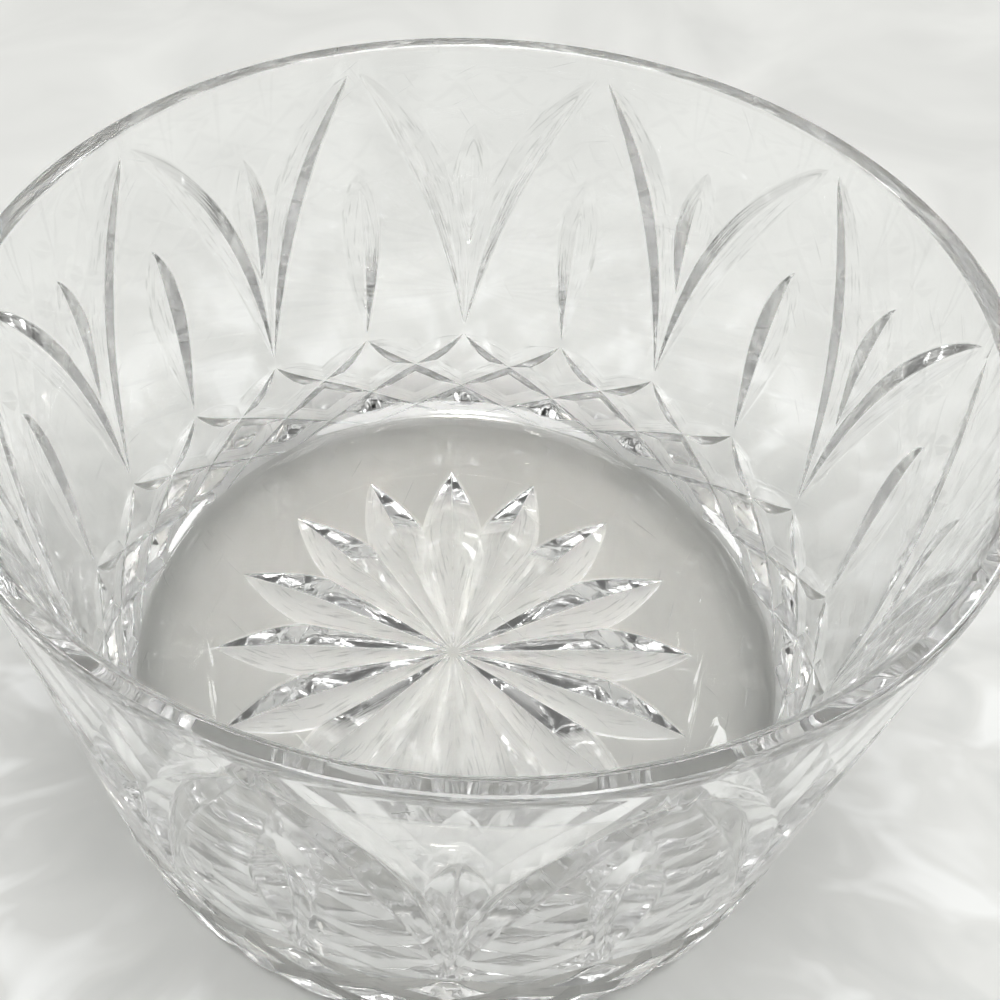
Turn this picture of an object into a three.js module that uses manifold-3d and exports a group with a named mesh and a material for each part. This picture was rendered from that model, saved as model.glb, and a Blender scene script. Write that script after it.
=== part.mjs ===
// Cut glass puff box: an open, gently flared bowl of clear crystal with a plain rim.
// Millimetres, +Z up. The origin is the centre of the base, on the surface the bowl stands on.
// The wall carries ten pointed arches with a fan between each two, over a band of crossed cuts.
// A sixteen-ray star is cut into the underside of the base.

import * as THREE from 'three';
import { mergeVertices } from 'three/addons/utils/BufferGeometryUtils.js';
import Module from 'manifold-3d';

const wasm = await Module();
wasm.setup();

// Blank: the uncut glass
const bodyHeight = 75;
const rimRadius = 60;
const baseRadius = 54.5;
const rimWall = 2.8;
const lowerWall = 5.2;
const floorHeight = 12;
const insideFillet = 9;
const shoulderRound = 4;
const rimRound = 0.9;

// Base: a ground resting ring round a shallow hollow
const restRingInside = 44.5;
const baseHollow = 0.4;

// Arches: two curved leaf cuts each, from a shared apex down to the valleys beside it
const archCount = 10;
const apexDepth = 4;
const valleyDepth = 50.5;
const apexGap = 1.4;
const archStraightShare = 0.35;
const archBend = 3;
const archCutWidth = 5.2;
const archCutWidest = 0.38;

// Upright leaf cuts: one in each fan and one inside each arch
const fanLeafTop = 13;
const fanLeafBottom = 34.5;
const fanLeafWidth = 5.9;
const fanLeafWidest = 0.42;
const archLeafTop = 20;
const archLeafBottom = 51;
const archLeafWidth = 6.4;
const archLeafWidest = 0.36;

// Band: straight cuts that cross in diamonds
const bandTop = 52;
const bandRow = 5.9;
const bandCutWidth = 4.1;
const bandCutTaper = 0.14;

// Star on the underside: each ray meets its neighbours from the centre out to a notch, then runs to a point
const starRays = 16;
const starRadius = 37.3;
const starCentreGap = 0.5;
const starCutWidth = 9.6;
const starNotch = 0.6;
const starOverlap = 1.06;
const starTurn = THREE.MathUtils.degToRad(1.8);

// Wheel profile: depth of a cut over half its width, and how far the wheel stands clear of the glass
const archSteepness = 0.6;
const leafSteepness = 0.53;
const bandSteepness = 0.75;
const starSteepness = 0.45;
const wheelClearance = 0.5;
const tipLift = 0.15;

// Fineness of the faceted surface
const roundSides = 60;
const filletSteps = 4;
const shoulderSteps = 2;
const edgeSteps = 1;
const archSteps = 7;
const leafSteps = 6;
const bandSteps = 4;
const starSteps = 5;

const archPitch = 2 * Math.PI / archCount;
const peakPitch = archPitch / 2;
const north = Math.PI / 2;

// Slope of the outer and inner wall: how far each moves out for a millimetre of height
const outerFlare = (rimRadius - baseRadius) / bodyHeight;
const innerTopRadius = rimRadius - rimWall;
const innerLowRadius = baseRadius + outerFlare * floorHeight - lowerWall;
const innerFlare = (innerTopRadius - innerLowRadius) / (bodyHeight - floorHeight);

function outerRadiusAt(z) {
  return baseRadius + outerFlare * z;
}

function innerRadiusAt(z) {
  return innerLowRadius + innerFlare * (z - floorHeight);
}

function arc(centreX, centreY, radius, fromAngle, toAngle, steps) {
  const points = [];
  for (let i = 0; i <= steps; i++) {
    const angle = fromAngle + (toAngle - fromAngle) * i / steps;
    points.push(new THREE.Vector2(centreX + radius * Math.cos(angle), centreY + radius * Math.sin(angle)));
  }
  return points;
}

// The round between a level floor and a flared wall, from the floor up
function cornerRound(wallRadiusAt, flare, level, radius, steps) {
  const centreRadius = wallRadiusAt(level + radius) - radius * Math.hypot(1, flare);
  return arc(centreRadius, level + radius, radius, -Math.PI / 2, -Math.atan(flare), steps);
}

function blankProfile() {
  const underside = [
    new THREE.Vector2(0, baseHollow),
    new THREE.Vector2(restRingInside - baseHollow, baseHollow),
    new THREE.Vector2(restRingInside, 0),
  ];
  const shoulder = cornerRound(outerRadiusAt, outerFlare, 0, shoulderRound, shoulderSteps);
  const outerRimRadius = outerRadiusAt(bodyHeight - rimRound);
  const rimTop = bodyHeight - rimRound;
  const outerEdge = arc(outerRimRadius - rimRound, rimTop, rimRound, 0, Math.PI / 2, edgeSteps);
  const innerRimRadius = innerRadiusAt(rimTop);
  const innerEdge = arc(innerRimRadius + rimRound, rimTop, rimRound, Math.PI / 2, Math.PI, edgeSteps);
  const inside = cornerRound(innerRadiusAt, innerFlare, floorHeight, insideFillet, filletSteps).reverse();
  const floorCentre = new THREE.Vector2(0, floorHeight);
  return [...underside, ...shoulder, ...outerEdge, ...innerEdge, ...inside, floorCentre];
}

// A closed geometry as a solid that can be cut
function solidFrom(geometry) {
  geometry.deleteAttribute('normal');
  geometry.deleteAttribute('uv');
  const merged = mergeVertices(geometry, 1e-4);
  const corners = merged.index.array;
  const triangles = [];
  for (let i = 0; i < corners.length; i += 3) {
    const [a, b, c] = [corners[i], corners[i + 1], corners[i + 2]];
    if (a !== b && b !== c && c !== a) {
      triangles.push(a, b, c);
    }
  }
  return new wasm.Manifold(new wasm.Mesh({
    numProp: 3,
    vertProperties: new Float32Array(merged.attributes.position.array),
    triVerts: new Uint32Array(triangles),
  }));
}

function geometryFrom(solid) {
  const mesh = solid.getMesh();
  const geometry = new THREE.BufferGeometry();
  geometry.setAttribute('position', new THREE.BufferAttribute(mesh.vertProperties, 3));
  geometry.setIndex(new THREE.BufferAttribute(mesh.triVerts, 1));
  geometry.computeVertexNormals();
  return geometry;
}

// A point of the outer wall, with the direction that faces away from the glass
function onWall(azimuth, depth) {
  const z = bodyHeight - depth;
  const radius = outerRadiusAt(z);
  return {
    point: new THREE.Vector3(radius * Math.cos(azimuth), radius * Math.sin(azimuth), z),
    outward: new THREE.Vector3(Math.cos(azimuth), Math.sin(azimuth), -outerFlare).normalize(),
  };
}

// A point of the underside's hollow
function onUnderside(azimuth, radius) {
  return {
    point: new THREE.Vector3(radius * Math.cos(azimuth), radius * Math.sin(azimuth), baseHollow),
    outward: new THREE.Vector3(0, 0, -1),
  };
}

// Width of a leaf cut at t from 0 to 1 along it, as a share of its greatest width, which it has at widest
function leafWidth(t, widest) {
  const power = Math.log(0.5) / Math.log(widest);
  return Math.sin(Math.PI * t ** power);
}

// Width of a ray of the star at t from its inner to its outer end
function rayWidth(t) {
  const radius = starCentreGap + (starRadius - starCentreGap) * t;
  const meeting = 2 * radius * Math.tan(Math.PI / starRays) * starOverlap;
  const towardsPoint = Math.min(1, (1 - t) / (1 - starNotch));
  return Math.min(meeting, starCutWidth * Math.sin(towardsPoint * Math.PI / 2));
}

// Width of a band cut: a point at its upper end, full over the rest
function bandWidth(t) {
  const rise = Math.min(1, t / bandCutTaper);
  return Math.sin(rise * Math.PI / 2);
}

// The V-shaped glass that a grinding wheel takes away. place(t) gives the surface point and widthAt(t) the
// full width, for t from 0 to 1. It runs out to a point at both ends, or goes on past the far one if openEnd.
function wheelCut(place, widthAt, steepness, steps, openEnd = false) {
  const corners = [];
  const faces = [];
  const middle = openEnd ? steps : steps - 1;

  const start = place(0);
  corners.push(start.point.clone().addScaledVector(start.outward, tipLift));

  for (let i = 1; i <= middle; i++) {
    const t = i / steps;
    const here = place(t);
    const along = place(t + 0.01).point.sub(place(t - 0.01).point).normalize();
    const side = new THREE.Vector3().crossVectors(here.outward, along).normalize();
    const half = widthAt(t) / 2;
    const depth = half * steepness;
    const raise = depth * wheelClearance + tipLift;
    const reach = half * (1 + raise / depth);
    const left = here.point.clone().addScaledVector(side, reach).addScaledVector(here.outward, raise);
    const right = here.point.clone().addScaledVector(side, -reach).addScaledVector(here.outward, raise);
    const bottom = here.point.clone().addScaledVector(here.outward, -depth);
    corners.push(left, right, bottom);
  }

  // The start is corner 0, and section i holds its left, right and bottom corners
  const section = (i) => [3 * i + 1, 3 * i + 2, 3 * i + 3];
  const [firstLeft, firstRight, firstBottom] = section(0);
  faces.push([0, firstRight, firstLeft], [0, firstBottom, firstRight], [0, firstLeft, firstBottom]);
  for (let i = 0; i < middle - 1; i++) {
    const [l0, r0, b0] = section(i);
    const [l1, r1, b1] = section(i + 1);
    faces.push([l0, r0, l1], [r0, r1, l1]);
    faces.push([r0, b0, r1], [b0, b1, r1]);
    faces.push([b0, l0, b1], [l0, l1, b1]);
  }
  const [lastLeft, lastRight, lastBottom] = section(middle - 1);
  if (openEnd) {
    faces.push([lastLeft, lastRight, lastBottom]);
  } else {
    const end = place(1);
    corners.push(end.point.clone().addScaledVector(end.outward, tipLift));
    const tip = corners.length - 1;
    faces.push([tip, lastLeft, lastRight], [tip, lastRight, lastBottom], [tip, lastBottom, lastLeft]);
  }

  return new wasm.Manifold(new wasm.Mesh({
    numProp: 3,
    vertProperties: new Float32Array(corners.flatMap((corner) => corner.toArray())),
    triVerts: new Uint32Array(faces.flat()),
  }));
}

// One side of an arch, from beside its apex to the valley; side is 1 or -1
function archCut(apexAzimuth, side) {
  const reach = peakPitch - (apexGap / 2) / rimRadius;
  const place = (t) => {
    const left = Math.max(0, 1 - t);
    const fromValley = reach * (archStraightShare * left + (1 - archStraightShare) * left ** archBend);
    const depth = apexDepth + (valleyDepth - apexDepth) * t;
    return onWall(apexAzimuth + side * (peakPitch - fromValley), depth);
  };
  return wheelCut(place, (t) => archCutWidth * leafWidth(t, archCutWidest), archSteepness, archSteps);
}

// An upright leaf on the wall
function uprightCut(azimuth, top, bottom, width, widest) {
  const place = (t) => onWall(azimuth, top + (bottom - top) * t);
  return wheelCut(place, (t) => width * leafWidth(t, widest), leafSteepness, leafSteps);
}

// A straight cut of the band, from a peak down to the base; side is 1 or -1
function bandCut(peakAzimuth, side) {
  const drop = bodyHeight - bandTop + bandCutWidth;
  const turn = (drop / bandRow) * peakPitch / 2;
  const place = (t) => onWall(peakAzimuth + side * turn * t, bandTop + drop * t);
  return wheelCut(place, (t) => bandCutWidth * bandWidth(t), bandSteepness, bandSteps, true);
}

// A ray of the star
function starCut(azimuth) {
  const place = (t) => onUnderside(azimuth, starCentreGap + (starRadius - starCentreGap) * t);
  return wheelCut(place, rayWidth, starSteepness, starSteps);
}

function allCuts() {
  const cuts = [];
  for (let i = 0; i < archCount; i++) {
    const valley = north + i * archPitch;
    const apex = valley + peakPitch;
    cuts.push(archCut(apex, 1), archCut(apex, -1));
    cuts.push(uprightCut(valley, fanLeafTop, fanLeafBottom, fanLeafWidth, fanLeafWidest));
    cuts.push(uprightCut(apex, archLeafTop, archLeafBottom, archLeafWidth, archLeafWidest));
    for (const peak of [valley, apex]) {
      cuts.push(bandCut(peak, 1), bandCut(peak, -1));
    }
  }
  for (let i = 0; i < starRays; i++) {
    cuts.push(starCut(north + starTurn + i * 2 * Math.PI / starRays));
  }
  return cuts;
}

function bowlGeometry() {
  const blank = new THREE.LatheGeometry(blankProfile(), roundSides);
  blank.rotateX(Math.PI / 2);
  let solid = solidFrom(blank);
  for (const cut of allCuts()) {
    solid = solid.subtract(cut);
  }
  return geometryFrom(solid);
}

const crystal = new THREE.MeshStandardMaterial({
  color: 0xe6eae8,
  roughness: 0.05,
  metalness: 0,
  transparent: true,
  opacity: 0.45,
});

const bowl = new THREE.Mesh(bowlGeometry(), crystal);
bowl.name = 'bowl';

const puffBox = new THREE.Group();
puffBox.add(bowl);

export default puffBox;
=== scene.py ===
import math

import bpy
from mathutils import Matrix, Vector


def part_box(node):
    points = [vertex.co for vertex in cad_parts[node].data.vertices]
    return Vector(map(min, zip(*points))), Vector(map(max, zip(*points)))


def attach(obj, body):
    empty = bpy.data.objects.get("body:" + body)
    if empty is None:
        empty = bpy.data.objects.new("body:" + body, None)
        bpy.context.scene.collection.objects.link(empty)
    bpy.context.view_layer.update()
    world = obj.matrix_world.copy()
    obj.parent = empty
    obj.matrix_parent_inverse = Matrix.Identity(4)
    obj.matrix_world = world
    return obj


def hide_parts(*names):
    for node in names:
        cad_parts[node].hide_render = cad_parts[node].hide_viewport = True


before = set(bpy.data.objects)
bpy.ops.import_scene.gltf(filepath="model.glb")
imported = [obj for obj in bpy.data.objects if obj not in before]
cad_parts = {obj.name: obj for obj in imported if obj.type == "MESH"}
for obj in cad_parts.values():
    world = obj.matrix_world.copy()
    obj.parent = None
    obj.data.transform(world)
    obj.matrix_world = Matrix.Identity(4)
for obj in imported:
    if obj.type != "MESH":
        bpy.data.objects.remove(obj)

# An open, gently flared bowl of clear cut crystal on a pale table, in metres.
# Its height and rim come from the frame; the other sizes are those of the solid that it stands for.
LOW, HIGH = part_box("bowl")
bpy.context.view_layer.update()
BODY_HEIGHT = HIGH.z - LOW.z
WIDTH = HIGH.x - LOW.x

# Blank
BASE_RADIUS = 0.0545
RIM_WALL = 0.0028
LOWER_WALL = 0.0052
FLOOR_HEIGHT = 0.012
INSIDE_FILLET = 0.009
SHOULDER_ROUND = 0.004
RIM_ROUND = 0.0009
REST_RING_INSIDE = 0.0445
BASE_HOLLOW = 0.0004
HOLLOW_EDGE = 0.009

# Arches and upright leaves: depths below the rim, full widths, and where along a cut it is widest
ARCH_COUNT = 10
APEX_DEPTH = 0.004
VALLEY_DEPTH = 0.0505
APEX_GAP = 0.0014
ARCH_STRAIGHT_SHARE = 0.35
ARCH_BEND = 3
ARCH_CUT_WIDTH = 0.0052
ARCH_CUT_WIDEST = 0.38
FAN_LEAF = {"top": 0.013, "bottom": 0.0345, "width": 0.0059, "widest": 0.42}
ARCH_LEAF = {"top": 0.02, "bottom": 0.051, "width": 0.0064, "widest": 0.36}

# Crossed band
BAND_TOP = 0.052
BAND_ROW = 0.0059
BAND_CUT_WIDTH = 0.0041
BAND_CUT_TAPER = 0.14

# Star on the underside: each ray meets its neighbours out to a notch, then runs to a point
STAR_RAYS = 16
STAR_RADIUS = 0.0373
STAR_CENTRE_GAP = 0.0005
STAR_CUT_WIDTH = 0.0096
STAR_NOTCH = 0.6
STAR_OVERLAP = 1.06
STAR_TURN = math.radians(1.8)

# Wheel profiles: depth of a cut over half its width, and the acid polish that rounds its edges and bottom.
# A round takes at most a share of half the width. The edge runs on past its round, at a share of the slope.
ARCH_WHEEL = {"steepness": 0.6, "edge": 0.0003, "bottom": 0.0003}
LEAF_WHEEL = {"steepness": 0.53, "edge": 0.0003, "bottom": 0.0003}
BAND_WHEEL = {"steepness": 0.75, "edge": 0.0003, "bottom": 0.0003}
STAR_WHEEL = {"steepness": 0.45, "edge": 0.0003, "bottom": 0.00012}
MOST_ROUNDED = 0.3
EDGE_RUN = 1.5
EDGE_SLOPE = 0.1

# A cutter's lid and its tips stand this far over the surface, and its heading is taken over this step
WHEEL_RAISE = 0.0006
TIP_LIFT = 0.00005
HEADING_STEP = 0.005

# The table lies this far under the rest ring, so that the two never share a plane
TABLE_GAP = 0.00015

# Fineness of the meshes, and the angle from which an edge stays sharp
ROUND_SIDES = 320
WALL_ROWS = 16
ROUND_STEPS = 14
RIM_STEPS = 8
ARCH_STEPS = 32
LEAF_STEPS = 24
BAND_STEPS = 20
STAR_STEPS = 24
FLOOR_ROWS = 6
SHARP_ANGLE = math.radians(16)

ARCH_PITCH = 2 * math.pi / ARCH_COUNT
PEAK_PITCH = ARCH_PITCH / 2
NORTH = math.pi / 2

# The solid's widest ring lies just under the round of its rim
OUTER_FLARE = (WIDTH / 2 - BASE_RADIUS) / (BODY_HEIGHT - RIM_ROUND)
RIM_RADIUS = BASE_RADIUS + OUTER_FLARE * BODY_HEIGHT
INNER_LOW_RADIUS = BASE_RADIUS + OUTER_FLARE * FLOOR_HEIGHT - LOWER_WALL
INNER_FLARE = (RIM_RADIUS - RIM_WALL - INNER_LOW_RADIUS) / (BODY_HEIGHT - FLOOR_HEIGHT)


def outer_radius(z):
    return BASE_RADIUS + OUTER_FLARE * z


def inner_radius(z):
    return INNER_LOW_RADIUS + INNER_FLARE * (z - FLOOR_HEIGHT)


def arc(centre_r, centre_z, radius, start, end, steps):
    """Points of an arc in the profile's plane, as (distance from the axis, height)."""
    angles = [start + (end - start) * i / steps for i in range(steps + 1)]
    return [(centre_r + radius * math.cos(a), centre_z + radius * math.sin(a)) for a in angles]


def corner_round(wall_radius, flare, level, radius):
    """The round between a level floor and a flared wall, from the floor up."""
    centre = wall_radius(level + radius) - radius * math.hypot(1, flare)
    return arc(centre, level + radius, radius, -math.pi / 2, -math.atan(flare), ROUND_STEPS)


def between(a, b, rows):
    """Points that split the line from a to b into rows, without its ends."""
    return [(a[0] + (b[0] - a[0]) * i / rows, a[1] + (b[1] - a[1]) * i / rows) for i in range(1, rows)]


def blank_profile():
    """Outline of the uncut glass, from the underside's centre round to the floor's centre."""
    swell = [i / ROUND_STEPS for i in range(ROUND_STEPS + 1)]
    underside = [(0, BASE_HOLLOW)]
    underside += [(REST_RING_INSIDE - HOLLOW_EDGE * (1 - t), BASE_HOLLOW * (1 + math.cos(math.pi * t)) / 2)
                  for t in swell]
    shoulder = corner_round(outer_radius, OUTER_FLARE, 0, SHOULDER_ROUND)
    top = BODY_HEIGHT - RIM_ROUND
    outer_edge = arc(outer_radius(top) - RIM_ROUND, top, RIM_ROUND, 0, math.pi / 2, RIM_STEPS)
    inner_edge = arc(inner_radius(top) + RIM_ROUND, top, RIM_ROUND, math.pi / 2, math.pi, RIM_STEPS)
    inside = corner_round(inner_radius, INNER_FLARE, FLOOR_HEIGHT, INSIDE_FILLET)[::-1]
    outer_wall = between(shoulder[-1], outer_edge[0], WALL_ROWS)
    inner_wall = between(inner_edge[-1], inside[0], WALL_ROWS)
    inner_floor = between(inside[-1], (0, FLOOR_HEIGHT), FLOOR_ROWS)
    return [*underside, *shoulder, *outer_wall, *outer_edge, *inner_edge, *inner_wall, *inside,
            *inner_floor, (0, FLOOR_HEIGHT)]


def mesh_object(name, verts, faces):
    mesh = bpy.data.meshes.new(name)
    mesh.from_pydata(verts, [], faces)
    mesh.validate()
    obj = bpy.data.objects.new(name, mesh)
    bpy.context.collection.objects.link(obj)
    return obj


def turned(name, profile, sides):
    """The profile turned round the Z axis; its first and last points lie on the axis."""
    verts = [(0, 0, profile[0][1])]
    rings = profile[1:-1]
    for radius, z in rings:
        for i in range(sides):
            angle = 2 * math.pi * i / sides
            verts.append((radius * math.cos(angle), radius * math.sin(angle), z))
    verts.append((0, 0, profile[-1][1]))
    last = len(verts) - 1
    top = 1 + (len(rings) - 1) * sides
    faces = []
    for i in range(sides):
        j = (i + 1) % sides
        faces.append((0, 1 + j, 1 + i))
        faces.append((last, top + i, top + j))
        for k in range(len(rings) - 1):
            row = 1 + k * sides
            faces.append((row + i, row + j, row + sides + j, row + sides + i))
    return mesh_object(name, verts, faces)


def on_wall(azimuth, depth):
    """A point of the outer wall, with the direction that faces away from the glass."""
    z = BODY_HEIGHT - depth
    radius = outer_radius(z)
    outward = Vector((math.cos(azimuth), math.sin(azimuth), -OUTER_FLARE)).normalized()
    return Vector((radius * math.cos(azimuth), radius * math.sin(azimuth), z)), outward


def wall_near(point):
    """The outer wall at the height and direction of a point beside it."""
    return on_wall(math.atan2(point.y, point.x), BODY_HEIGHT - point.z)


def on_underside(azimuth, radius):
    return underside_near(Vector((radius * math.cos(azimuth), radius * math.sin(azimuth), 0)))


def underside_near(point):
    return Vector((point.x, point.y, BASE_HOLLOW)), Vector((0, 0, -1))


def leaf_width(t, widest):
    """Width of a leaf cut at t from 0 to 1 along it, as a share of the width that it has at widest."""
    return math.sin(math.pi * t ** (math.log(0.5) / math.log(widest)))


def ray_width(t):
    """Width of a ray of the star at t from its inner to its outer end."""
    radius = STAR_CENTRE_GAP + (STAR_RADIUS - STAR_CENTRE_GAP) * t
    meeting = 2 * radius * math.tan(math.pi / STAR_RAYS) * STAR_OVERLAP
    towards_point = min(1, (1 - t) / (1 - STAR_NOTCH))
    return min(meeting, STAR_CUT_WIDTH * math.sin(towards_point * math.pi / 2))


def band_width(t):
    """Width of a band cut: a point at its upper end, full over the rest."""
    return BAND_CUT_WIDTH * math.sin(min(1, t / BAND_CUT_TAPER) * math.pi / 2)


def cut_section(half, wheel):
    """Half of a V cut's section, from its bottom out, as (distance from the middle, depth).

    A parabola rounds the bottom and another the edge, which then runs out past the surface.
    """
    slope = wheel["steepness"]
    edge = min(wheel["edge"], half * MOST_ROUNDED)
    bottom = min(wheel["bottom"], half * MOST_ROUNDED)
    deepest = slope * half
    points = [(x, deepest - slope * (bottom / 2 + x * x / (2 * bottom))) for x in (0, bottom / 2, bottom)]
    for x in (half - edge, half - edge / 3, half + edge / 3, half + edge * (1 - 2 * EDGE_SLOPE)):
        points.append((x, slope * (half + edge - x) ** 2 / (4 * edge)))
    points.append((half + edge * EDGE_RUN, slope * edge * EDGE_SLOPE * (1 - EDGE_RUN - EDGE_SLOPE)))
    points.append((half + edge * EDGE_RUN, -WHEEL_RAISE))
    return points


def wheel_cut(place, near, width_at, wheel, steps, open_end=False):
    """The V-shaped glass that a grinding wheel takes away, as (verts, faces).

    place(t) gives a surface point and its outward direction, and width_at(t) the full width, for t from
    0 to 1. near(point) gives the point and direction of the surface beside a point.
    """
    point, outward = place(0)
    verts = [point + outward * TIP_LIFT]
    middle = steps if open_end else steps - 1
    for i in range(1, middle + 1):
        t = i / steps
        point, outward = place(t)
        along = place(t + HEADING_STEP)[0] - place(t - HEADING_STEP)[0]
        side = outward.cross(along).normalized()
        half_section = cut_section(width_at(t) / 2, wheel)
        offsets = half_section[::-1] + [(-x, depth) for x, depth in half_section[1:]]
        for x, depth in offsets:
            base, away = near(point + side * x)
            verts.append(base - away * depth)
    across = len(offsets)
    faces = []
    for k in range(across):
        j = (k + 1) % across
        faces.append((0, 1 + k, 1 + j))
        for i in range(middle - 1):
            row = 1 + i * across
            faces.append((row + j, row + k, row + across + k, row + across + j))
    last = 1 + (middle - 1) * across
    point, outward = place(1)
    verts.append(point if open_end else point + outward * TIP_LIFT)
    tip = len(verts) - 1
    faces += [(tip, last + (k + 1) % across, last + k) for k in range(across)]
    return verts, faces


def arch_cut(apex, side):
    """One side of an arch, from beside its apex to the valley; side is 1 or -1."""
    reach = PEAK_PITCH - APEX_GAP / 2 / RIM_RADIUS

    def place(t):
        left = max(0, 1 - t)
        from_valley = reach * (ARCH_STRAIGHT_SHARE * left + (1 - ARCH_STRAIGHT_SHARE) * left ** ARCH_BEND)
        azimuth = apex + side * (PEAK_PITCH - from_valley)
        return on_wall(azimuth, APEX_DEPTH + (VALLEY_DEPTH - APEX_DEPTH) * t)

    def width_at(t):
        return ARCH_CUT_WIDTH * leaf_width(t, ARCH_CUT_WIDEST)

    return wheel_cut(place, wall_near, width_at, ARCH_WHEEL, ARCH_STEPS)


def upright_cut(azimuth, top, bottom, width, widest):
    """An upright leaf on the wall."""

    def place(t):
        return on_wall(azimuth, top + (bottom - top) * t)

    def width_at(t):
        return width * leaf_width(t, widest)

    return wheel_cut(place, wall_near, width_at, LEAF_WHEEL, LEAF_STEPS)


def band_cut(peak, side):
    """A straight cut of the band, from a peak down to the base; side is 1 or -1."""
    drop = BODY_HEIGHT - BAND_TOP + BAND_CUT_WIDTH
    turn = drop / BAND_ROW * PEAK_PITCH / 2

    def place(t):
        return on_wall(peak + side * turn * t, BAND_TOP + drop * t)

    return wheel_cut(place, wall_near, band_width, BAND_WHEEL, BAND_STEPS, open_end=True)


def star_cut(azimuth):
    """A ray of the star."""

    def place(t):
        return on_underside(azimuth, STAR_CENTRE_GAP + (STAR_RADIUS - STAR_CENTRE_GAP) * t)

    return wheel_cut(place, underside_near, ray_width, STAR_WHEEL, STAR_STEPS)


def joined(name, cuts):
    """Cuts that don't meet each other, as one object."""
    verts, faces = [], []
    for cut_verts, cut_faces in cuts:
        start = len(verts)
        verts += cut_verts
        faces += [tuple(start + corner for corner in face) for face in cut_faces]
    return mesh_object(name, verts, faces)


def all_cuts():
    """Objects that each hold cuts which don't meet each other."""
    valleys = [NORTH + i * ARCH_PITCH for i in range(ARCH_COUNT)]
    apexes = [valley + PEAK_PITCH for valley in valleys]
    rays = [NORTH + STAR_TURN + i * 2 * math.pi / STAR_RAYS for i in range(STAR_RAYS)]
    groups = {
        "arch_left": [arch_cut(apex, 1) for apex in apexes],
        "arch_right": [arch_cut(apex, -1) for apex in apexes],
        "fan_leaves": [upright_cut(valley, **FAN_LEAF) for valley in valleys],
        "arch_leaves": [upright_cut(apex, **ARCH_LEAF) for apex in apexes],
        "band_left": [band_cut(peak, 1) for peak in valleys + apexes],
        "band_right": [band_cut(peak, -1) for peak in valleys + apexes],
        "star_even": [star_cut(ray) for ray in rays[::2]],
        "star_odd": [star_cut(ray) for ray in rays[1::2]],
    }
    return [joined(name, cuts) for name, cuts in groups.items()]


def cut_bowl(polished, wall_cuts, star_cuts):
    """The bowl's blank with every wheel cut taken out; cut faces take their cutter's finish."""
    blank = turned("crystal_bowl", blank_profile(), ROUND_SIDES)
    for finish in (polished, wall_cuts, star_cuts):
        blank.data.materials.append(finish)
    cutters = all_cuts()
    for cutter in cutters:
        cutter.data.materials.append(star_cuts if cutter.name.startswith("star") else wall_cuts)
        step = blank.modifiers.new(cutter.name, "BOOLEAN")
        step.operation = "DIFFERENCE"
        step.solver = "MANIFOLD"
        step.object = cutter
        step.material_mode = "TRANSFER"
    graph = bpy.context.evaluated_depsgraph_get()
    mesh = bpy.data.meshes.new_from_object(blank.evaluated_get(graph))
    blank.modifiers.clear()
    blank.data = mesh
    for cutter in cutters:
        bpy.data.objects.remove(cutter)
    for face in mesh.polygons:
        face.use_smooth = True
    mesh.set_sharp_from_angle(angle=SHARP_ANGLE)
    return blank


# Crystal: its slow waves, in waves a metre, and their height in metres
CRYSTAL_COLOUR = (0.985, 0.99, 0.987, 1)
CRYSTAL_IOR = 1.54
WAVE_SCALE = 70
WAVE_DETAIL = 1
WAVE_HEIGHT = 0.00002

# Hair scratches of use: fine lines in two directions where their noise is high, kept to worn patches
SCRATCH_TURNS = [(0.3, 0.5, 0.4), (1.2, 0.2, 2.0)]
SCRATCH_SCALE = (5000, 120, 120)
SCRATCH_CUTOFF = (0.8, 0.86)
SCRATCH_PATCHES = 70
SCRATCH_PATCH_EDGE = (0.5, 0.6)
SCRATCH_WHITE = 0.22

# The wheel's streaks in the cuts: waves a metre, heights in metres, and how the highest grey the glass
STREAK_ACROSS = 6000
STREAK_ALONG = 220
STREAK_DETAIL = 2
WALL_STREAKS = 0.000016
STAR_STREAKS = 0.000003
STREAK_DARK = (0.56, 0.7)
STREAK_GREY = (0.62, 0.63, 0.62, 1)

# Painted shade greys the flats under the base: heights over which it fades, and its tone
FLATS_SHADE_FADE = (0.0008, 0.0006)
FLATS_SHADE_TONE = (0.7, 0.7, 0.685, 1)

# The colour inputs and output of a Mix node
MIX_START = 6
MIX_END = 7
MIX_RESULT = 2


def node(tree, kind, **values):
    """A new node, with values for its inputs and settings."""
    made = tree.nodes.new(kind)
    for name, value in values.items():
        if name in made.inputs:
            made.inputs[name].default_value = value
        else:
            setattr(made, name, value)
    return made


def linked(tree, kind, sources, **values):
    """A new node with some inputs fed by other nodes' sockets."""
    made = node(tree, kind, **values)
    for name, socket in sources.items():
        tree.links.new(socket, made.inputs[name])
    return made


def arithmetic(tree, operation, *terms):
    """Result socket of a Math node whose terms are numbers or sockets."""
    made = node(tree, "ShaderNodeMath", operation=operation)
    for i, term in enumerate(terms):
        if isinstance(term, (int, float)):
            made.inputs[i].default_value = term
        else:
            tree.links.new(term, made.inputs[i])
    return made.outputs[0]


def vector(tree, operation, sources, **values):
    return linked(tree, "ShaderNodeVectorMath", sources, operation=operation, **values)


def noise(tree, place, scale, detail=0, distortion=0):
    made = linked(tree, "ShaderNodeTexNoise", {"Vector": place}, Scale=scale, Detail=detail,
                  Distortion=distortion)
    return made.outputs["Fac"]


def stretched(tree, place, turn, scale):
    """Place turned about three axes, then scaled apart along them."""
    turned_place = linked(tree, "ShaderNodeMapping", {"Vector": place}, Rotation=turn).outputs[0]
    return linked(tree, "ShaderNodeMapping", {"Vector": turned_place}, Scale=scale).outputs[0]


def step_up(tree, value, low, high):
    """0 at low and 1 at high, even between them and held beyond; low may be the larger."""
    made = linked(tree, "ShaderNodeMapRange", {"Value": value})
    made.inputs["From Min"].default_value = low
    made.inputs["From Max"].default_value = high
    return made.outputs[0]


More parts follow.
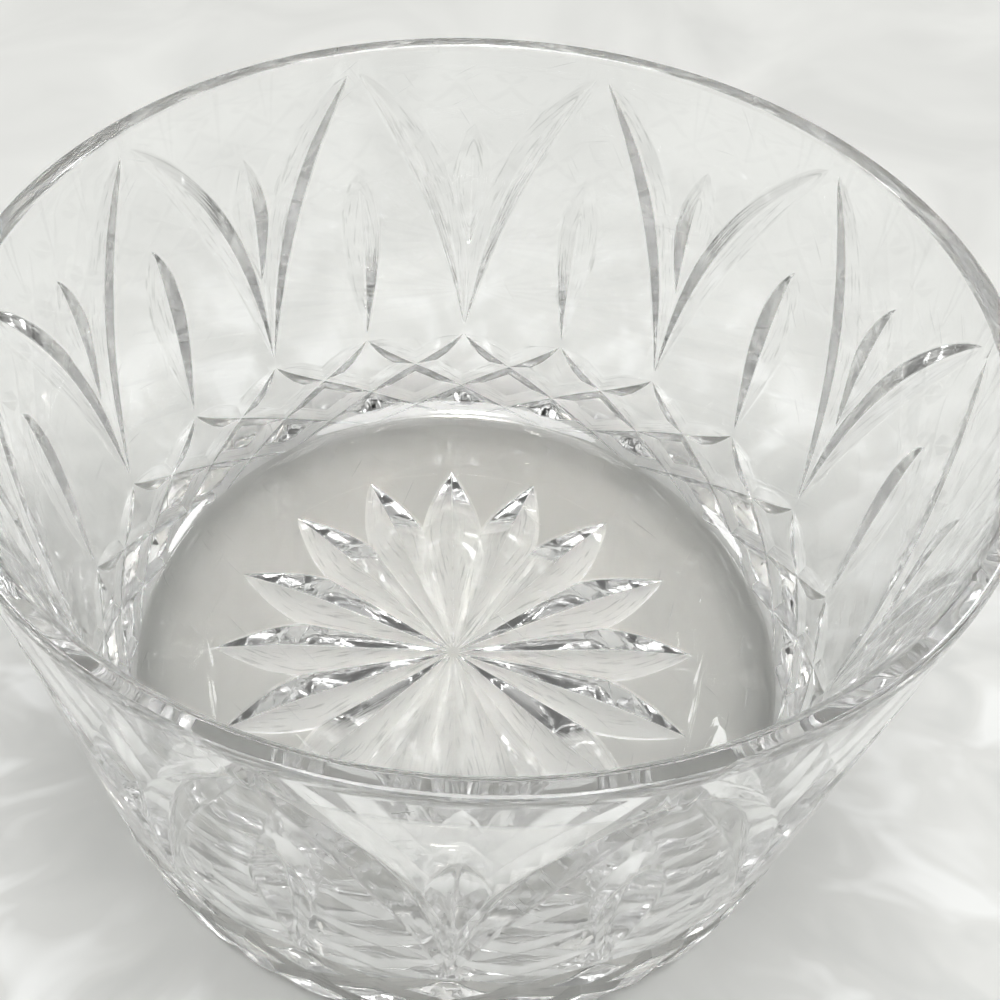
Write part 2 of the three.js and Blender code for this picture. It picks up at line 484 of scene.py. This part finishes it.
def mixed(tree, share, start, end):
    """A colour between two, which are tuples or sockets, by a share from a socket."""
    made = linked(tree, "ShaderNodeMix", {"Factor": share}, data_type="RGBA")
    for slot, colour in ((MIX_START, start), (MIX_END, end)):
        if isinstance(colour, tuple):
            made.inputs[slot].default_value = colour
        else:
            tree.links.new(colour, made.inputs[slot])
    return made.outputs[MIX_RESULT]


def bump(tree, height, distance, below=None):
    """Normal of a surface raised by a height from 0 to 1 times a distance, over another such normal."""
    made = linked(tree, "ShaderNodeBump", {"Height": height}, Distance=distance)
    if below is not None:
        tree.links.new(below, made.inputs["Normal"])
    return made.outputs[0]


def hair_scratches(tree, place):
    """Thin worn scratches in two directions, 0 to 1."""
    one, other = [noise(tree, stretched(tree, place, turn, SCRATCH_SCALE), 1) for turn in SCRATCH_TURNS]
    lines = step_up(tree, arithmetic(tree, "MAXIMUM", one, other), *SCRATCH_CUTOFF)
    patches = step_up(tree, noise(tree, place, SCRATCH_PATCHES), *SCRATCH_PATCH_EDGE)
    return arithmetic(tree, "MULTIPLY", lines, patches)


def crystal(name):
    """Clear lead crystal that is a little uneven. Returns the material, place, shader and uneven normal."""
    material = bpy.data.materials.new(name)
    material.use_nodes = True
    tree = material.node_tree
    glass = tree.nodes["Principled BSDF"]
    glass.inputs["Roughness"].default_value = 0
    glass.inputs["IOR"].default_value = CRYSTAL_IOR
    glass.inputs["Transmission Weight"].default_value = 1
    place = node(tree, "ShaderNodeTexCoord").outputs["Object"]
    uneven = bump(tree, noise(tree, place, WAVE_SCALE, WAVE_DETAIL), WAVE_HEIGHT)
    return material, place, glass, uneven


def polished_crystal():
    """The blank: hair scratches show faintly white, and painted shade greys the flats under the base."""
    material, place, glass, uneven = crystal("crystal_polished")
    tree = material.node_tree
    whitened = arithmetic(tree, "MULTIPLY", hair_scratches(tree, place), SCRATCH_WHITE)
    tree.links.new(arithmetic(tree, "SUBTRACT", 1, whitened), glass.inputs["Transmission Weight"])
    tree.links.new(uneven, glass.inputs["Normal"])
    height = linked(tree, "ShaderNodeSeparateXYZ", {"Vector": place}).outputs["Z"]
    # painted shade: the flats under the base take a grey tone
    tone = mixed(tree, step_up(tree, height, *FLATS_SHADE_FADE), CRYSTAL_COLOUR, FLATS_SHADE_TONE)
    tree.links.new(tone, glass.inputs["Base Color"])
    return material


def cut_crystal(name, depth_of, streak_height):
    """Facets of a wheel cut: the wheel's streaks run along the cut, at even depth under the surface."""
    material, place, glass, uneven = crystal(name)
    tree = material.node_tree
    axes = linked(tree, "ShaderNodeSeparateXYZ", {"Vector": place}).outputs
    along = arithmetic(tree, "ADD", axes["Z"], axes["Y"])
    drawn_out = linked(tree, "ShaderNodeCombineXYZ", {
        "X": arithmetic(tree, "MULTIPLY", depth_of(tree, axes), STREAK_ACROSS),
        "Y": arithmetic(tree, "MULTIPLY", axes["X"], STREAK_ALONG),
        "Z": arithmetic(tree, "MULTIPLY", along, STREAK_ALONG),
    })
    streaks = noise(tree, drawn_out.outputs[0], 1, STREAK_DETAIL)
    tree.links.new(bump(tree, streaks, streak_height, uneven), glass.inputs["Normal"])
    tone = mixed(tree, step_up(tree, streaks, *STREAK_DARK), CRYSTAL_COLOUR, STREAK_GREY)
    tree.links.new(tone, glass.inputs["Base Color"])
    return material


def depth_under_wall(tree, axes):
    """Depth under the uncut outer wall."""
    squares = [arithmetic(tree, "POWER", axes[axis], 2) for axis in "XY"]
    radius = arithmetic(tree, "SQRT", arithmetic(tree, "ADD", *squares))
    wall = arithmetic(tree, "MULTIPLY_ADD", axes["Z"], OUTER_FLARE, BASE_RADIUS)
    return arithmetic(tree, "SUBTRACT", wall, radius)


def depth_over_base(tree, axes):
    return axes["Z"]


# Pale table: its colours, how rough it is, and where painted shade darkens it away from the bowl
TABLE_SIZE = 6
TABLE_PALE = (0.82, 0.825, 0.8, 1)
TABLE_PAINTED_SHADE = (0.22, 0.22, 0.215, 1)
TABLE_ROUGHNESS = 0.6
TABLE_SHADE_FADE = (0.3, 0.9)

# Faint clouds in it: waves a metre, where they start and are full in their noise, and their share
CLOUD_SCALE = 22
CLOUD_DETAIL = 3
CLOUD_DISTORTION = 1
CLOUD_EDGE = (0.3, 0.65)
CLOUD_SHARE = 0.16

# Thick glass gathers light on the table under it, which is drawn as a paler tone: its edge and tone
GATHER_EDGE = (0.05, 0.043)
GATHER_TONE = (0.97, 0.965, 0.935, 1)

# Cut glass throws soft patches on the table round it: waves to a unit of direction and waves a metre outward,
# the radii over which they come and go, and where in their noise they show, with their shares and tones
PATCHES_ROUND = 7
PATCHES_OUT = 60
PATCHES_DETAIL = 2
PATCHES_DISTORTION = 0.6
PATCHES_START = (0.055, 0.066)
PATCHES_END = (0.13, 0.078)
PATCH_LIGHT = {"edge": (0.5, 0.66), "share": 0.75, "tone": (0.99, 1, 0.985, 1)}
PATCH_SHADE = {"edge": (0.47, 0.32), "share": 0.32, "tone": (0.55, 0.565, 0.55, 1)}


def clouded(tree, place, distance):
    """The table's colour: faint clouds, and painted shade that darkens it away from the bowl."""
    # painted shade: the table's tone falls off to dark away from the bowl
    lit = arithmetic(tree, "SUBTRACT", 1, step_up(tree, distance, *TABLE_SHADE_FADE))
    clouds = step_up(tree, noise(tree, place, CLOUD_SCALE, CLOUD_DETAIL, CLOUD_DISTORTION), *CLOUD_EDGE)
    cloudy = arithmetic(tree, "MULTIPLY", arithmetic(tree, "MULTIPLY", clouds, lit), CLOUD_SHARE)
    pale = arithmetic(tree, "MULTIPLY_ADD", lit, 1 - CLOUD_SHARE, cloudy)
    return mixed(tree, pale, TABLE_PAINTED_SHADE, TABLE_PALE)


def thrown_patches(tree, place, distance):
    """Noise that is finer round the bowl than outward."""
    direction = vector(tree, "NORMALIZE", {0: place}).outputs[0]
    around = vector(tree, "SCALE", {0: direction}, Scale=PATCHES_ROUND).outputs[0]
    reach = arithmetic(tree, "MULTIPLY", distance, PATCHES_OUT)
    outward = linked(tree, "ShaderNodeCombineXYZ", {"Z": reach}).outputs[0]
    together = vector(tree, "ADD", {0: around, 1: outward}).outputs[0]
    return noise(tree, together, 1, PATCHES_DETAIL, PATCHES_DISTORTION)


def table_material():
    material = bpy.data.materials.new("table")
    material.use_nodes = True
    tree = material.node_tree
    surface = tree.nodes["Principled BSDF"]
    surface.inputs["Roughness"].default_value = TABLE_ROUGHNESS
    place = node(tree, "ShaderNodeTexCoord").outputs["Object"]
    distance = vector(tree, "LENGTH", {0: place}).outputs["Value"]
    gathered = step_up(tree, distance, *GATHER_EDGE)
    colour = mixed(tree, gathered, clouded(tree, place, distance), GATHER_TONE)
    patches = thrown_patches(tree, place, distance)
    near = arithmetic(tree, "MULTIPLY", step_up(tree, distance, *PATCHES_START),
                      step_up(tree, distance, *PATCHES_END))
    for patch in (PATCH_LIGHT, PATCH_SHADE):
        shown = arithmetic(tree, "MULTIPLY", step_up(tree, patches, *patch["edge"]), near)
        share = arithmetic(tree, "MULTIPLY", shown, patch["share"])
        colour = mixed(tree, share, colour, patch["tone"])
    tree.links.new(colour, surface.inputs["Base Color"])
    return material


def table_top():
    bpy.ops.mesh.primitive_plane_add(size=TABLE_SIZE, location=(0, 0, -TABLE_GAP))
    table = bpy.context.object
    table.name = "table"
    table.data.materials.append(table_material())


# Soft boxes: where each stands, what it faces, its width and height, and its power in watts. The last, over
# the bowl, also has a warm colour and a narrow spread.
LAMPS = {
    "key": {"place": (0.03, -0.07, 1.15), "target": (0, 0, 0), "size": (0.7, 0.7), "power": 7.3},
    "left_spot": {"place": (-0.75, 0.25, 0.85), "target": (0, 0, 0), "size": (0.26, 0.26), "power": 1.8},
    "right_spot": {"place": (0.75, 0.35, 0.85), "target": (0, 0, 0), "size": (0.26, 0.26), "power": 2.2},
    "front_card": {"place": (-0.2, -1, 0.17), "target": (0, 0, 0.03), "size": (0.55, 0.22), "power": 0.18},
    "down_light": {"place": (0, 0.035, 0.4), "target": (0, 0.022, 0), "size": (0.085, 0.085), "power": 0.0055,
                   "colour": (1, 0.95, 0.88), "spread": math.radians(8)},
}


def soft_box(name, place, target, size, power, colour=(1, 1, 1), spread=math.pi):
    lamp = bpy.data.lights.new(name, "AREA")
    lamp.shape = "ELLIPSE"
    lamp.size, lamp.size_y = size
    lamp.energy = power
    lamp.color = colour
    lamp.spread = spread
    obj = bpy.data.objects.new(name, lamp)
    obj.location = place
    obj.rotation_euler = (Vector(target) - Vector(place)).to_track_quat("-Z", "Y").to_euler()
    bpy.context.collection.objects.link(obj)


# Brightness of the room over the sine of the elevation: dim walls, pale ceiling
SKY = [(0, 0.1), (0.5, 0.12), (0.8, 0.5), (1, 0.85)]
SKY_WARMTH = 0.98

# Whoever holds the camera stands dark against the room: their direction, and the cosines of the angles
# between which they fade
ONLOOKER = Vector((0, -0.64, 0.77))
ONLOOKER_EDGE = (0.93, 0.86)


def room_light():
    """A plain room, dimmer at eye level than overhead, with one dark patch where the onlooker stands."""
    world = bpy.data.worlds.new("room")
    bpy.context.scene.world = world
    world.use_nodes = True
    tree = world.node_tree
    background = tree.nodes["Background"]
    direction = node(tree, "ShaderNodeTexCoord").outputs["Generated"]
    height = linked(tree, "ShaderNodeSeparateXYZ", {"Vector": direction}).outputs["Z"]
    ramp = linked(tree, "ShaderNodeValToRGB", {"Fac": height})
    stops = ramp.color_ramp.elements
    while len(stops) < len(SKY):
        stops.new(1)
    for stop, (position, level) in zip(stops, SKY):
        stop.position = position
        stop.color = (level, level, level * SKY_WARMTH, 1)
    tree.links.new(ramp.outputs[0], background.inputs["Color"])
    towards = vector(tree, "DOT_PRODUCT", {0: direction})
    towards.inputs[1].default_value = ONLOOKER
    clear = step_up(tree, towards.outputs["Value"], *ONLOOKER_EDGE)
    tree.links.new(clear, background.inputs["Strength"])


# The camera's place and aim are fitted to the photograph. Both are then turned about the bowl's axis, so that
# a valley of the pattern lies where it does there.
CAMERA_EYE = Vector((-0.00835, -0.1027, 0.1626))
CAMERA_AIM = Vector((-0.00835, -0.00773, 0.051))
PATTERN_TURN = math.radians(2.94)
SENSOR = 36
LENS = 42.9
SHIFT_RIGHT = 0.1
CLIP_START = 0.005


def camera():
    turn = Matrix.Rotation(PATTERN_TURN, 3, "Z")
    eye, aim = turn @ CAMERA_EYE, turn @ CAMERA_AIM
    data = bpy.data.cameras.new("camera")
    data.sensor_width = SENSOR
    data.lens = LENS
    data.shift_x = SHIFT_RIGHT
    data.clip_start = CLIP_START
    obj = bpy.data.objects.new("camera", data)
    obj.location = eye
    obj.rotation_euler = (aim - eye).to_track_quat("-Z", "Y").to_euler()
    bpy.context.collection.objects.link(obj)
    bpy.context.scene.camera = obj


# Light crosses many faces of thick cut glass
MOST_BOUNCES = 32
GLASS_BOUNCES = 24


def light_paths():
    """Enough bounces for the glass, and no limit on what a lamp lends to the table through it."""
    rays = bpy.context.scene.cycles
    rays.max_bounces = MOST_BOUNCES
    rays.glossy_bounces = GLASS_BOUNCES
    rays.transmission_bounces = GLASS_BOUNCES
    rays.sample_clamp_indirect = 0


def main():
    bpy.context.scene.view_settings.view_transform = "Standard"
    light_paths()
    camera()
    polished = polished_crystal()
    wall_cuts = cut_crystal("crystal_wall_cuts", depth_under_wall, WALL_STREAKS)
    star_cuts = cut_crystal("crystal_star_cuts", depth_over_base, STAR_STREAKS)
    bowl = cut_bowl(polished, wall_cuts, star_cuts)
    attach(bowl, "root")
    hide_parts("bowl")
    table_top()
    room_light()
    for name, lamp in LAMPS.items():
        soft_box(name, **lamp)


main()
